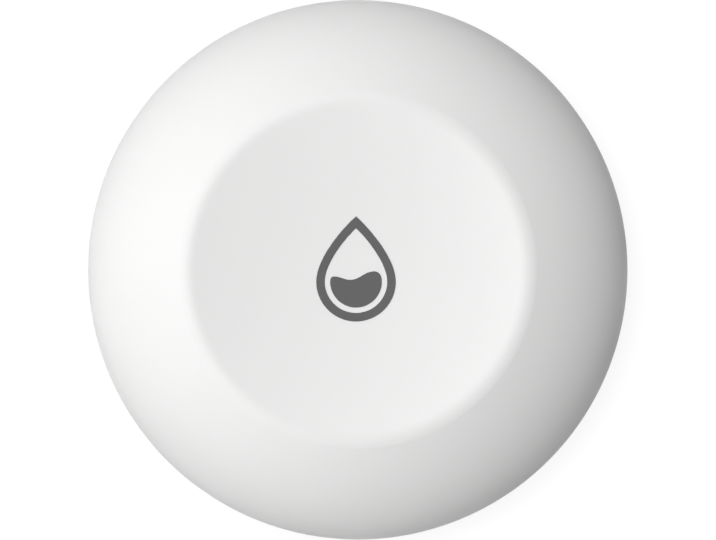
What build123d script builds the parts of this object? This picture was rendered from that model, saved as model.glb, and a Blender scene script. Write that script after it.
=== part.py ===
# Water leak sensor: a dished round puck with two probes, a coin cell and a press switch.
# Millimetres and degrees. +Z is up, and the origin is on the floor under the centre.
# Angles run anticlockwise seen from above, from +X.
from build123d import *
import os
from math import ceil, cos, radians, sin

# Running and standing clearances
running_fit = 0.2
seal_slack = 0.02
contact_gap = 0.05
overrun = 1.0

# Outer form
body_radius = 25.0
edge_radius = 3.7            # rounding between the widest circle and the flat underside
crest_radius = 15.5          # the highest circle, round the dish
crest_inner_round = 0.4      # rounding of the wall's inner face under that circle
shell_wall = 1.6
dish_slope = 12.0            # how steeply the dish meets the crest
flank_slope = 30.0           # how steeply the flank leaves it
flank_handle_share = 1.118   # of the flank's width
side_handle_share = 0.062    # of the flank's height

# Heights of the stack, from the floor up to the dish
foot_height = 0.6
cover_thickness = 1.6
cell_height = 3.2
contact_height = 1.4         # between the cell and the board
board_thickness = 1.0
switch_body_height = 1.7
switch_plate_thickness = 0.2
stem_rise = 0.9              # of the stem above the switch
pad_thickness = 0.6
press_gap = 0.1              # between the pad and the shell's boss
press_boss_height = 0.47     # in the middle of the dish

# Top shell's inside
press_boss_radius = 3.5
flex_wall = 0.9              # thinner ring that lets the dish give
flex_ring_radius = 13.3
flex_ring_width = 1.8
screw_boss_radius = 2.6
screw_boss_gap = 0.1
screw_pilot_radius = 1.05
guide_radius = 1.2
guide_socket_wall = 0.65
guide_socket_depth = 1.7
guide_place_share = 0.459     # of the board's radius, as the other places
guide_angle = 45.0

# Printed drop
print_thickness = 0.05
drop_radius = 3.67           # round lower end of the outline
drop_centre_y = -1.08
drop_tip_y = 4.95
drop_line = 0.79             # width of the printed outline
drop_inner_tip_y = 3.84
drop_tip_angle = 50.0        # half the angle at the tip
drop_tip_handle_share = 0.27   # of the radius, as the next one
drop_side_handle_share = 0.65
water_radius = 2.385         # the printed water inside the outline
wave_shares = [(-0.85, 0.205), (-0.22, 0.075), (0.69, 0.4)]   # crest, trough and crest of its surface
wave_handle_share = 0.4      # of the way from one of them to the next
edge_handle_share = 0.65     # of the way from the water's edge to the crest beside it

# Base shell
seam_height = 2.6            # of the parting line above the underside
seam_groove_width = 0.7
seam_groove_height = 0.3
base_floor = 1.4
base_wall = 1.3
spigot_inset = 2.6           # from the outline in to the wall that stands up inside the top shell
spigot_wall = 1.9
spigot_height = 4.2
housing_groove_depth = 0.85
housing_groove_width = 1.3
housing_groove_height = 2.6  # of the groove's middle above the base's floor
collar_wall = 1.5
collar_board_gap = 0.6
station_ring = 5.7           # room for the feet, screws and probes, inside the spigot

# Battery and its cover, which take the room inside that ring
cell_fit = 0.3
skirt_wall = 1.0
skirt_height = 2.4
lug_depth = 1.0
lug_height = 0.8
lug_angle = 20.0
rib_angle = 60.0
rib_embed = 0.3
thread_lead = 9.0            # travel of the cover in one full turn
thread_starts = 3
thread_gap = 0.15
thread_step = 6.0            # angle between the sections of a helical rib
flange_land = 0.5            # beside the seal's groove
cover_groove_depth = 0.85
cover_groove_width = 1.1
cover_seal_gap = 0.05        # between the flange and the base
slot_margin = 4.6            # between the coin slot's end and the cover's edge
slot_width = 2.0
slot_depth = 0.8
cover_edge = 0.25            # chamfer round the cover and its recess
slot_edge = 0.15
can_wall = 0.25
can_lip = 0.7
cap_thickness = 0.25
gasket_width = 0.4
gasket_rise = 0.4            # height of the gasket's narrow top

# Screws, feet and probes on one circle
fastener_count = 3
foot_angle = 90.0
foot_pad_radius = 2.6
foot_plug_radius = 2.2
foot_plug_height = 0.8
foot_edge = 0.25
plug_fit = 0.1
screw_well_depth = 2.4
screw_head_radius = 1.9
screw_head_height = 1.4
screw_shank_radius = 1.0
screw_length = 6.4
screw_cross_length = 2.2
screw_cross_width = 0.5
screw_cross_depth = 0.8
tower_radius = 3.2
tower_height = 3.8
post_radius = 2.2
probe_clearance = 0.25       # of the tips above the floor
probe_head_radius = 2.0
probe_head_inset = 0.55      # depth of the head's recess
probe_dome = 0.3
probe_shank_radius = 1.2
probe_length = 5.25
probe_boss_radius = 3.0
probe_boss_height = 3.4
probe_fit = 0.1
probe_recess_edge = 0.15
probe_seal_section = 0.6
nut_across_flats = 4.0
nut_height = 1.0

# Board and what is soldered on it
board_gap = 0.9              # between the board and the spigot
board_notch_fit = 0.4
negative_contact_angle = 330.0
board_screw_radius = 0.9
board_screw_head_radius = 1.6
board_screw_head_height = 0.9
board_screw_length = 3.2
board_screw_slot_width = 0.4
board_screw_slot_depth = 0.4
leaf_thickness = 0.2
leaf_width = 3.0
leaf_foot = 2.4
leaf_reach = 4.2             # from the foot to the tip
leaf_toe = 1.0
leaf_flat = 0.8
side_contact_angles = [60.0, 240.0]
side_contact_width = 4.0
side_contact_foot = 2.4
side_contact_overlap = 0.5   # height of the cell's side that the contact covers
switch_size = 6.0
switch_floor = 0.5
switch_well_radius = 2.2
stem_flange_radius = 2.0
stem_flange_height = 0.55
stem_radius = 1.6
dome_radius = 2.1
dome_rise = 0.42
dome_thickness = 0.08
terminal_length = 1.0
terminal_width = 0.7
terminal_pitch = 4.5
terminal_thickness = 0.2
pad_radius = 3.0
led_size = 2.0
led_height = 0.9
guide_led_gap = 0.1
radio_size = 5.0
radio_height = 0.85
radio_place_share = 0.52
radio_angle = 180.0
antenna_length = 7.0
antenna_width = 2.0
antenna_height = 0.8
antenna_place_share = 0.878
antenna_angle = 180.0
crystal_length = 3.2
crystal_width = 2.5
crystal_height = 0.7
crystal_place_share = 0.5
crystal_angle = 140.0
sensing_length = 4.9
sensing_width = 3.9
sensing_height = 1.4
sensing_place_share = 0.561
sensing_angle = 0.0
sensing_lead_rows = 4
sensing_lead_pitch = 1.27
sensing_lead_length = 1.0
sensing_lead_width = 0.4
sensing_lead_height = 0.3
regulator_length = 2.9
regulator_width = 1.6
regulator_height = 1.1
regulator_place_share = 0.561
regulator_angle = 315.0
capacitor_length = 1.6
capacitor_width = 0.8
capacitor_height = 0.8
resistor_height = 0.45
small_part_share = 0.73
capacitor_angles = [170.0, 190.0, 225.0, 310.0, 321.0]
resistor_angles = [16.0, 27.0, 344.0, 62.0, 118.0, 240.0]

# Heights of the faces, worked out from the stack
underside_z = foot_height
cover_top_z = underside_z + cover_thickness
cell_top_z = cover_top_z + cell_height
board_bottom_z = cell_top_z + contact_height
board_top_z = board_bottom_z + board_thickness
switch_body_top_z = board_top_z + switch_body_height
switch_top_z = switch_body_top_z + switch_plate_thickness
stem_top_z = switch_top_z + stem_rise
pad_top_z = stem_top_z + pad_thickness
press_boss_z = pad_top_z + press_gap
dish_bottom_z = press_boss_z + press_boss_height + shell_wall
crest_round = shell_wall + crest_inner_round
dish_reach = crest_radius / sin(radians(dish_slope))
crest_z = dish_bottom_z + dish_reach * (1 - cos(radians(dish_slope)))
crest_centre_z = crest_z - crest_round
dish_centre_z = crest_centre_z + dish_reach * cos(radians(dish_slope))
dish_sphere = dish_reach - crest_round
equator_z = underside_z + edge_radius
seam_z = underside_z + seam_height
floor_z = underside_z + base_floor
seat_z = cover_top_z + cover_seal_gap
tower_top_z = underside_z + tower_height
spigot_top_z = floor_z + spigot_height
collar_top_z = board_bottom_z - collar_board_gap

# Radii worked out from the outline inwards
spigot_radius = body_radius - spigot_inset
shell_bore = spigot_radius + running_fit
spigot_inner = spigot_radius - spigot_wall
board_radius = spigot_inner - board_gap
cover_recess = spigot_inner - station_ring
recess_wall = cover_recess + base_wall
station_radius = (cover_recess + spigot_inner) / 2
flange_radius = cover_recess - running_fit
cover_groove_outer = flange_radius - flange_land
cover_groove_inner = cover_groove_outer - cover_groove_width
collar_bore = cover_groove_inner - flange_land
collar_outer = collar_bore + collar_wall
lug_outer = collar_bore - running_fit
skirt_outer = lug_outer - lug_depth
skirt_inner = skirt_outer - skirt_wall
rib_inner = skirt_outer + running_fit
cell_radius = skirt_inner - cell_fit
slot_length = 2 * (flange_radius - slot_margin)
post_angle = foot_angle + 180 / fastener_count


os.makedirs("parts", exist_ok=True)


def polar(radius, angle):
    return radius * cos(radians(angle)), radius * sin(radians(angle))


def keep(name, piece):
    piece.part.label = name
    export_step(piece.part, f"parts/{name}.step")


def radial_plane(angle):
    """Upright plane through the axis: its x runs outwards at the angle, and its y is up."""
    outward = (cos(radians(angle)), sin(radians(angle)), 0)
    return Plane(origin=(0, 0, 0), x_dir=outward, z_dir=(outward[1], -outward[0], 0))


def upper_form(inset):
    """Face between the axis and the dish, crest and flank, all moved in by inset."""
    slopes = radians(flank_slope)
    round_radius = crest_round - inset
    flank_x = crest_radius + round_radius * sin(slopes)
    flank_z = crest_centre_z + round_radius * cos(slopes)
    side_x = body_radius - inset
    reach = flank_handle_share * (side_x - flank_x)
    side_handle = side_handle_share * (flank_z - equator_z)
    with BuildSketch(Plane.XZ) as face:
        with BuildLine():
            CenterArc((0, dish_centre_z), dish_sphere + inset, 270, dish_slope)
            CenterArc((crest_radius, crest_centre_z), round_radius, 90 + dish_slope,
                      -dish_slope - flank_slope)
            Bezier(
                (flank_x, flank_z),
                (flank_x + reach * cos(slopes), flank_z - reach * sin(slopes)),
                (side_x, equator_z + side_handle),
                (side_x, equator_z),
            )
            Polyline((side_x, equator_z), (0, equator_z), (0, dish_bottom_z - inset))
        make_face()
    return face.sketch


def section_box(inner, outer, bottom, top, mode=Mode.ADD):
    """Rectangle of a revolved section, between two radii and two heights."""
    with Locations(((inner + outer) / 2, (bottom + top) / 2)):
        Rectangle(outer - inner, top - bottom, mode=mode)


def helical_rib(inner, outer, bottom, height, angle, first_turn, last_turn):
    """Rib that climbs by the thread's lead and is at its stated height at the angle."""
    steps = ceil((last_turn - first_turn) / thread_step)
    with BuildPart() as rib:
        for step in range(steps + 1):
            turn = first_turn + (last_turn - first_turn) * step / steps
            rise = thread_lead * turn / 360
            with BuildSketch(radial_plane(angle + turn)):
                section_box(inner, outer, bottom + rise, bottom + rise + height)
        loft(ruled=True)
    return rib.part


def ring_seal(ring_radius, section, height):
    with BuildPart() as seal:
        with BuildSketch(Plane.XZ):
            with Locations((ring_radius, height)):
                Circle(section / 2)
        revolve(axis=Axis.Z)
    return seal


# Top shell
with BuildPart() as shell_cavity:
    with BuildSketch(Plane.XZ):
        add(upper_form(shell_wall))
        section_box(0, body_radius - shell_wall, seam_z - overrun, equator_z)
        section_box(0, shell_bore, seam_z - overrun, crest_z, mode=Mode.INTERSECT)
    revolve(axis=Axis.Z)
    with BuildSketch(Plane.XY.offset(tower_top_z + screw_boss_gap)):
        with PolarLocations(station_radius, fastener_count, foot_angle):
            Circle(screw_boss_radius)
    extrude(amount=crest_z, mode=Mode.SUBTRACT)
    with BuildSketch(Plane.XY.offset(press_boss_z)):
        Circle(press_boss_radius)
    extrude(amount=crest_z, mode=Mode.SUBTRACT)

guide_place_radius = guide_place_share * board_radius
guide_x, guide_y = polar(guide_place_radius, guide_angle)
guide_slope_rise = guide_place_radius ** 2 / (2 * dish_sphere)
guide_top_z = dish_bottom_z + guide_slope_rise - shell_wall
with BuildPart() as flex_ring:
    with BuildSketch(Plane.XZ):
        add(upper_form(flex_wall))
        section_box(flex_ring_radius - flex_ring_width / 2, flex_ring_radius + flex_ring_width / 2,
                    press_boss_z, crest_z, mode=Mode.INTERSECT)
    revolve(axis=Axis.Z)

with BuildPart() as top_shell:
    with BuildSketch(Plane.XZ):
        add(upper_form(0))
        with BuildLine():
            CenterArc((body_radius - edge_radius, equator_z), edge_radius, 0, -90)
            Polyline((body_radius - edge_radius, underside_z), (0, underside_z), (0, equator_z),
                     (body_radius, equator_z))
        make_face()
        section_box(0, body_radius + overrun, seam_z, crest_z + overrun, mode=Mode.INTERSECT)
    revolve(axis=Axis.Z)
    add(shell_cavity.part, mode=Mode.SUBTRACT)
    add(flex_ring.part, mode=Mode.SUBTRACT)
    with BuildSketch(Plane.XY.offset(guide_top_z - guide_socket_depth)):
        with Locations((guide_x, guide_y)):
            Circle(guide_radius + guide_socket_wall)
    extrude(amount=guide_socket_depth + shell_wall / 2)
    with BuildSketch(Plane.XY.offset(guide_top_z - guide_socket_depth)):
        with Locations((guide_x, guide_y)):
            Circle(guide_radius + contact_gap)
    extrude(amount=guide_socket_depth - contact_gap, mode=Mode.SUBTRACT)
    with BuildSketch(Plane.XY.offset(tower_top_z)):
        with PolarLocations(station_radius, fastener_count, foot_angle):
            Circle(screw_pilot_radius)
    extrude(amount=screw_length, mode=Mode.SUBTRACT)
keep("top_shell", top_shell)


# Printed drop, cut from a thin layer that follows the dish
def drop_face(radius, tip_y):
    tip_turn = radians(drop_tip_angle)
    tip_handle = drop_tip_handle_share * radius
    with BuildSketch() as face:
        with BuildLine():
            Bezier(
                (0, tip_y),
                (tip_handle * sin(tip_turn), tip_y - tip_handle * cos(tip_turn)),
                (radius, drop_centre_y + drop_side_handle_share * radius),
                (radius, drop_centre_y),
            )
            CenterArc((0, drop_centre_y), radius, 0, -90)
            mirror(about=Plane.YZ)
        make_face()
    return face.sketch


def edge_curve(side, crest):
    """Rounded corner of the water, from its widest point on one side up to a crest."""
    handle_y = edge_handle_share * (crest[1] - drop_centre_y)
    handle_x = edge_handle_share * (side * water_radius - crest[0])
    Bezier(
        (side * water_radius, drop_centre_y),
        (side * water_radius, drop_centre_y + handle_y),
        (crest[0] + handle_x, crest[1]),
        crest,
    )


with BuildSketch() as water_art:
    with BuildLine():
        wave = [(water_radius * x, drop_centre_y + water_radius * y) for x, y in wave_shares]
        for first, last in zip(wave, wave[1:]):
            handle = wave_handle_share * (last[0] - first[0])
            Bezier(first, (first[0] + handle, first[1]), (last[0] - handle, last[1]), last)
        edge_curve(-1, wave[0])
        edge_curve(1, wave[-1])
        CenterArc((0, drop_centre_y), water_radius, 0, -180)
    make_face()

with BuildPart() as print_layer:
    with BuildSketch(Plane.XZ):
        with Locations((0, dish_centre_z)):
            Circle(dish_sphere)
            Circle(dish_sphere - print_thickness, mode=Mode.SUBTRACT)
        section_box(0, drop_tip_y + overrun, dish_bottom_z, dish_centre_z, mode=Mode.INTERSECT)
    revolve(axis=Axis.Z)

with BuildPart() as drop_symbol:
    with BuildSketch(Plane.XY.offset(dish_bottom_z - overrun)):
        add(drop_face(drop_radius, drop_tip_y))
        add(drop_face(drop_radius - drop_line, drop_inner_tip_y), mode=Mode.SUBTRACT)
        add(water_art.sketch)
    extrude(amount=crest_z)
    add(print_layer.part, mode=Mode.INTERSECT)
keep("drop_symbol", drop_symbol)

# Base shell, with the collar that the battery cover screws into
lug_rise = thread_lead * lug_angle / 720
skirt_top_z = cover_top_z + skirt_height
lug_z = skirt_top_z - lug_height - lug_rise
rib_z = lug_z - thread_gap - lug_height
start_angles = [foot_angle + 360 * start / thread_starts for start in range(thread_starts)]
housing_groove_z = floor_z + housing_groove_height
probe_angles = {"left": 180.0, "right": 0.0}
head_top_z = underside_z + probe_head_inset
probe_seal_radius = probe_shank_radius + contact_gap + probe_seal_section / 2
probe_well_radius = probe_seal_radius + probe_seal_section / 2 + contact_gap
probe_boss_top_z = underside_z + probe_boss_height
screw_seat_z = underside_z + screw_well_depth
post_hole_depth = board_screw_length - board_thickness + overrun

with BuildPart() as base_shell:
    with BuildSketch(Plane.XZ):
        with BuildLine():
            CenterArc((body_radius - edge_radius, equator_z), edge_radius, 0, -90)
            Polyline((body_radius - edge_radius, underside_z), (0, underside_z), (0, equator_z),
                     (body_radius, equator_z))
        make_face()
        section_box(0, body_radius + overrun, underside_z, seam_z, mode=Mode.INTERSECT)
        section_box(0, spigot_inner, floor_z, seam_z, mode=Mode.SUBTRACT)
        section_box(spigot_inner, spigot_radius, floor_z, spigot_top_z)
        section_box(body_radius - seam_groove_width, body_radius + overrun,
                    seam_z - seam_groove_height, seam_z, mode=Mode.SUBTRACT)
        section_box(spigot_radius - housing_groove_depth, spigot_radius,
                    housing_groove_z - housing_groove_width / 2,
                    housing_groove_z + housing_groove_width / 2, mode=Mode.SUBTRACT)
        section_box(0, recess_wall, underside_z, seat_z + base_wall)
        section_box(0, collar_outer, underside_z, collar_top_z)
    revolve(axis=Axis.Z)
    with BuildSketch(Plane.XY.offset(underside_z)):
        with PolarLocations(station_radius, fastener_count, foot_angle):
            Circle(tower_radius)
    extrude(amount=tower_height)
    with BuildSketch(Plane.XY.offset(underside_z)):
        with PolarLocations(station_radius, fastener_count, post_angle):
            Circle(post_radius)
    extrude(amount=board_bottom_z - underside_z)
    with BuildSketch(Plane.XY.offset(underside_z)):
        with Locations(*[polar(station_radius, angle) for angle in probe_angles.values()]):
            Circle(probe_boss_radius)
    extrude(amount=probe_boss_height)
    with BuildSketch(Plane.XY.offset(underside_z)):
        Circle(collar_bore)
    extrude(amount=collar_top_z, mode=Mode.SUBTRACT)
    for angle in start_angles:
        add(helical_rib(rib_inner, collar_bore + rib_embed, rib_z, lug_height,
                        angle, lug_angle / 2 - rib_angle, lug_angle / 2))
    with BuildSketch(Plane.XY.offset(underside_z)):
        Circle(cover_recess)
    extrude(amount=seat_z - underside_z, mode=Mode.SUBTRACT)
    chamfer(base_shell.edges().group_by(Axis.Z)[0].sort_by(SortBy.LENGTH)[0], cover_edge)
    with BuildSketch(Plane.XY.offset(underside_z)):
        with PolarLocations(station_radius, fastener_count, foot_angle):
            Circle(foot_plug_radius + plug_fit)
    extrude(amount=screw_well_depth, mode=Mode.SUBTRACT)
    with BuildSketch(Plane.XY.offset(underside_z)):
        with PolarLocations(station_radius, fastener_count, foot_angle):
            Circle(screw_shank_radius + running_fit)
    extrude(amount=tower_height, mode=Mode.SUBTRACT)
    with BuildSketch(Plane.XY.offset(board_bottom_z)):
        with PolarLocations(station_radius, fastener_count, post_angle):
            Circle(board_screw_radius + contact_gap)
    extrude(amount=-post_hole_depth, mode=Mode.SUBTRACT)
    for angle in probe_angles.values():
        with Locations((*polar(station_radius, angle), underside_z)):
            Cylinder(probe_head_radius + probe_fit, probe_head_inset,
                     align=(Align.CENTER, Align.CENTER, Align.MIN), mode=Mode.SUBTRACT)
        mouth = base_shell.edges().group_by(Axis.Z)[0].sort_by_distance(polar(station_radius, angle))[0]
        chamfer(mouth, probe_recess_edge)
        with Locations((*polar(station_radius, angle), underside_z)):
            Cylinder(probe_well_radius, probe_head_inset + probe_seal_section + contact_gap,
                     align=(Align.CENTER, Align.CENTER, Align.MIN), mode=Mode.SUBTRACT)
            Cylinder(probe_shank_radius + probe_fit, probe_boss_height,
                     align=(Align.CENTER, Align.CENTER, Align.MIN), mode=Mode.SUBTRACT)
keep("base_shell", base_shell)

# Seal between the two shells
housing_groove_floor = spigot_radius - housing_groove_depth
housing_section = shell_bore - housing_groove_floor - 2 * seal_slack
housing_seal = ring_seal(housing_groove_floor + seal_slack + housing_section / 2, housing_section,
                         housing_groove_z)
keep("housing_seal", housing_seal)


# Rubber feet, which plug the wells of the housing screws
def rubber_foot(angle):
    place = polar(station_radius, angle)
    with BuildPart() as foot:
        with BuildSketch():
            with Locations(place):
                Circle(foot_pad_radius)
        extrude(amount=foot_height)
        fillet(foot.edges().group_by(Axis.Z)[0], foot_edge)
        with BuildSketch(Plane.XY.offset(underside_z)):
            with Locations(place):
                Circle(foot_plug_radius)
        extrude(amount=foot_plug_height)
    return foot


for number in range(fastener_count):
    keep(f"rubber_foot_{number + 1}", rubber_foot(foot_angle + 360 * number / fastener_count))

# Three screws that hold the shells together
with BuildPart() as housing_screws:
    with BuildSketch(Plane.XY.offset(screw_seat_z - screw_head_height)):
        with PolarLocations(station_radius, fastener_count, foot_angle):
            Circle(screw_head_radius)
    extrude(amount=screw_head_height)
    with BuildSketch(Plane.XY.offset(screw_seat_z)):
        with PolarLocations(station_radius, fastener_count, foot_angle):
            Circle(screw_shank_radius)
    extrude(amount=screw_length)
    with BuildSketch(Plane.XY.offset(screw_seat_z - screw_head_height)):
        with PolarLocations(station_radius, fastener_count, foot_angle):
            Rectangle(screw_cross_length, screw_cross_width)
            Rectangle(screw_cross_width, screw_cross_length)
    extrude(amount=screw_cross_depth, mode=Mode.SUBTRACT)
keep("housing_screws", housing_screws)


# Probes, with a domed head below, a seal under it, and a nut and a leaf spring inside
def probe_pin(angle):
    x, y = polar(station_radius, angle)
    with BuildPart() as pin:
        with BuildSketch(Plane(origin=(x, y, 0), x_dir=(1, 0, 0), z_dir=(0, -1, 0))):
            section_box(0, probe_shank_radius, head_top_z, probe_clearance + probe_length)
            with BuildLine():
                edge = (probe_head_radius, probe_clearance + probe_dome)
                dome_sphere = (probe_head_radius ** 2 + probe_dome ** 2) / (2 * probe_dome)
                RadiusArc((0, probe_clearance), edge, -dome_sphere)
                Polyline(edge, (probe_head_radius, head_top_z), (0, head_top_z), (0, probe_clearance))
            make_face()
        revolve(axis=Axis((x, y, 0), (0, 0, 1)))
    return pin


def probe_seal(angle):
    x, y = polar(station_radius, angle)
    with BuildPart() as seal:
        with BuildSketch(Plane(origin=(x, y, 0), x_dir=(1, 0, 0), z_dir=(0, -1, 0))):
            with Locations((probe_seal_radius, head_top_z + seal_slack + probe_seal_section / 2)):
                Circle(probe_seal_section / 2)
        revolve(axis=Axis((x, y, 0), (0, 0, 1)))
    return seal


def contact_leaf(tip_radius, tip_z, angle):
    """Sprung strip, soldered under the board inboard of its tip."""
    knee = tip_radius - leaf_reach
    foot_z = board_bottom_z
    upper = [
        (knee - leaf_foot, foot_z),
        (knee, foot_z),
        (tip_radius - leaf_flat / 2, tip_z + leaf_thickness),
        (tip_radius + leaf_flat / 2, tip_z + leaf_thickness),
        (tip_radius + leaf_flat / 2 + leaf_toe, tip_z + 2 * leaf_thickness),
    ]
    lower = [(radius, height - leaf_thickness) for radius, height in reversed(upper)]
    with BuildPart() as leaf:
        with BuildSketch(radial_plane(angle)):
            with BuildLine():
                Polyline(*upper, *lower, close=True)
            make_face()
        extrude(amount=leaf_width / 2, both=True)
    return leaf


probe_top_z = probe_clearance + probe_length
for side, angle in probe_angles.items():
    keep(f"probe_pin_{side}", probe_pin(angle))
    keep(f"probe_seal_{side}", probe_seal(angle))
    keep(f"probe_spring_{side}", contact_leaf(station_radius, probe_top_z + contact_gap, angle))

with BuildPart() as probe_nuts:
    with BuildSketch(Plane.XY.offset(probe_boss_top_z)):
        with Locations(*[polar(station_radius, angle) for angle in probe_angles.values()]):
            RegularPolygon(nut_across_flats / 2, 6, major_radius=False)
            Circle(probe_shank_radius + contact_gap, mode=Mode.SUBTRACT)
    extrude(amount=nut_height)
keep("probe_nuts", probe_nuts)

# Battery cover, turned by a coin in its slot
cover_groove_floor = cover_top_z - cover_groove_depth
with BuildPart() as battery_cover:
    with BuildSketch(Plane.XZ):
        section_box(0, flange_radius, underside_z, cover_top_z)
        section_box(skirt_inner, skirt_outer, cover_top_z, skirt_top_z)
        section_box(cover_groove_inner, cover_groove_outer, cover_groove_floor, cover_top_z,
                    mode=Mode.SUBTRACT)
    revolve(axis=Axis.Z)
    chamfer(battery_cover.edges().group_by(Axis.Z)[0], cover_edge)
    for angle in start_angles:
        add(helical_rib(skirt_outer - rib_embed, lug_outer, lug_z, lug_height,
                        angle, -lug_angle / 2, lug_angle / 2))
    with BuildSketch(Plane.XY.offset(underside_z)):
        SlotOverall(slot_length, slot_width)
    extrude(amount=slot_depth, mode=Mode.SUBTRACT)
    underside_edges = battery_cover.edges().group_by(Axis.Z)[0].sort_by(SortBy.LENGTH)
    chamfer(underside_edges[:-1], slot_edge)
keep("battery_cover", battery_cover)

cover_section = seat_z - cover_groove_floor - 2 * seal_slack
battery_cover_seal = ring_seal((cover_groove_inner + cover_groove_outer) / 2, cover_section,
                               cover_groove_floor + seal_slack + cover_section / 2)
keep("battery_cover_seal", battery_cover_seal)

# Coin cell, with its can down and its cap up
lip_inner = cell_radius - can_lip
cap_radius = lip_inner - gasket_width
gasket_shoulder_z = cell_top_z - gasket_rise
with BuildPart() as battery_can:
    with BuildSketch(Plane.XZ):
        section_box(0, cell_radius, cover_top_z, cell_top_z - contact_gap)
        section_box(0, cell_radius - can_wall, cover_top_z + can_wall, gasket_shoulder_z, mode=Mode.SUBTRACT)
        section_box(0, lip_inner, gasket_shoulder_z, cell_top_z, mode=Mode.SUBTRACT)
    revolve(axis=Axis.Z)
keep("battery_can", battery_can)

with BuildPart() as battery_gasket:
    with BuildSketch(Plane.XZ):
        section_box(cap_radius, cell_radius - can_wall, cover_top_z + can_wall, gasket_shoulder_z)
        section_box(cap_radius, lip_inner, gasket_shoulder_z, cell_top_z - contact_gap)
    revolve(axis=Axis.Z)
keep("battery_gasket", battery_gasket)

with BuildPart() as battery_cap:
    with BuildSketch(Plane.XY.offset(cell_top_z - cap_thickness)):
        Circle(cap_radius)
    extrude(amount=cap_thickness)
keep("battery_cap", battery_cap)

with BuildPart() as battery_core:
    with BuildSketch(Plane.XY.offset(cover_top_z + can_wall)):
        Circle(cap_radius)
    extrude(amount=cell_height - can_wall - cap_thickness)
keep("battery_core", battery_core)

# Contacts of the cell
keep("battery_negative_contact", contact_leaf(0, cell_top_z + contact_gap, negative_contact_angle))


def side_contact(angle):
    """Angle strip that reaches down from the board to the side of the cell."""
    leaf_inner = cell_radius + contact_gap
    with BuildPart() as contact:
        with BuildSketch(radial_plane(angle)):
            section_box(leaf_inner, leaf_inner + side_contact_foot,
                        board_bottom_z - leaf_thickness, board_bottom_z)
            section_box(leaf_inner, leaf_inner + leaf_thickness,
                        cell_top_z - side_contact_overlap, board_bottom_z)
        extrude(amount=side_contact_width / 2, both=True)
    return contact


for number, angle in enumerate(side_contact_angles, start=1):
    keep(f"battery_positive_contact_{number}", side_contact(angle))

# Circuit board, notched round the shell's screw bosses
with BuildPart() as circuit_board:
    with BuildSketch(Plane.XY.offset(board_bottom_z)):
        Circle(board_radius)
        with PolarLocations(station_radius, fastener_count, foot_angle):
            Circle(screw_boss_radius + board_notch_fit, mode=Mode.SUBTRACT)
        with PolarLocations(station_radius, fastener_count, post_angle):
            Circle(board_screw_radius + running_fit, mode=Mode.SUBTRACT)
    extrude(amount=board_thickness)
keep("circuit_board", circuit_board)

with BuildPart() as board_screws:
    with BuildSketch(Plane.XY.offset(board_top_z)):
        with PolarLocations(station_radius, fastener_count, post_angle):
            Circle(board_screw_radius)
    extrude(amount=-board_screw_length)
    with BuildSketch(Plane.XY.offset(board_top_z)):
        with PolarLocations(station_radius, fastener_count, post_angle):
            Circle(board_screw_head_radius)
    extrude(amount=board_screw_head_height)
    with BuildSketch(Plane.XY.offset(board_top_z + board_screw_head_height)):
        with PolarLocations(station_radius, fastener_count, post_angle):
            Rectangle(2 * board_screw_head_radius, board_screw_slot_width)
    extrude(amount=-board_screw_slot_depth, mode=Mode.SUBTRACT)
keep("board_screws", board_screws)

# Press switch in the middle of the board
switch_well_z = board_top_z + switch_floor
dome_top_z = switch_well_z + dome_rise
flange_z = dome_top_z + contact_gap
with BuildPart() as switch_body:
    with BuildSketch(Plane.XY.offset(board_top_z)):
        Rectangle(switch_size, switch_size)
    extrude(amount=switch_body_height)
    with BuildSketch(Plane.XY.offset(switch_well_z)):
        Circle(switch_well_radius)
    extrude(amount=switch_body_height, mode=Mode.SUBTRACT)
keep("switch_body", switch_body)

with BuildPart() as switch_plate:
    with BuildSketch(Plane.XY.offset(switch_body_top_z)):
        Rectangle(switch_size, switch_size)
        Circle(stem_radius + running_fit, mode=Mode.SUBTRACT)
    extrude(amount=switch_plate_thickness)
keep("switch_plate", switch_plate)

with BuildPart() as switch_dome:
    dome_sphere = (dome_radius ** 2 + dome_rise ** 2) / (2 * dome_rise)
    with BuildSketch(Plane.XZ):
        with Locations((0, dome_top_z - dome_sphere)):
            Circle(dome_sphere)
            Circle(dome_sphere - dome_thickness, mode=Mode.SUBTRACT)
        section_box(0, dome_radius, switch_well_z, dome_top_z, mode=Mode.INTERSECT)
    revolve(axis=Axis.Z)
keep("switch_dome", switch_dome)

with BuildPart() as switch_stem:
    with BuildSketch(Plane.XY.offset(flange_z)):
        Circle(stem_flange_radius)
    extrude(amount=stem_flange_height)
    with BuildSketch(Plane.XY.offset(flange_z)):
        Circle(stem_radius)
    extrude(amount=stem_top_z - flange_z)
keep("switch_stem", switch_stem)

with BuildPart() as switch_terminals:
    with BuildSketch(Plane.XY.offset(board_top_z)):
        with GridLocations(switch_size + terminal_length, terminal_pitch, 2, 2):
            Rectangle(terminal_length, terminal_width)
    extrude(amount=terminal_thickness)
keep("switch_terminals", switch_terminals)

with BuildPart() as press_pad:
    with BuildSketch(Plane.XY.offset(stem_top_z)):
        Circle(pad_radius)
    extrude(amount=pad_thickness)
keep("press_pad", press_pad)


# Small parts soldered to the top of the board
def chip(length, width, height, share, angle):
    """Block with its length across the radius."""
    with BuildPart() as block:
        with BuildSketch(Plane.XY.offset(board_top_z)):
            with Locations(Location(polar(share * board_radius, angle), angle)):
                Rectangle(width, length)
        extrude(amount=height)
    return block


def chip_group(length, width, height, share, angles):
    """Alike small blocks on one circle."""
    with BuildPart() as blocks:
        with BuildSketch(Plane.XY.offset(board_top_z)):
            for angle in angles:
                with Locations(Location(polar(share * board_radius, angle), angle)):
                    Rectangle(width, length)
        extrude(amount=height)
    return blocks


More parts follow.
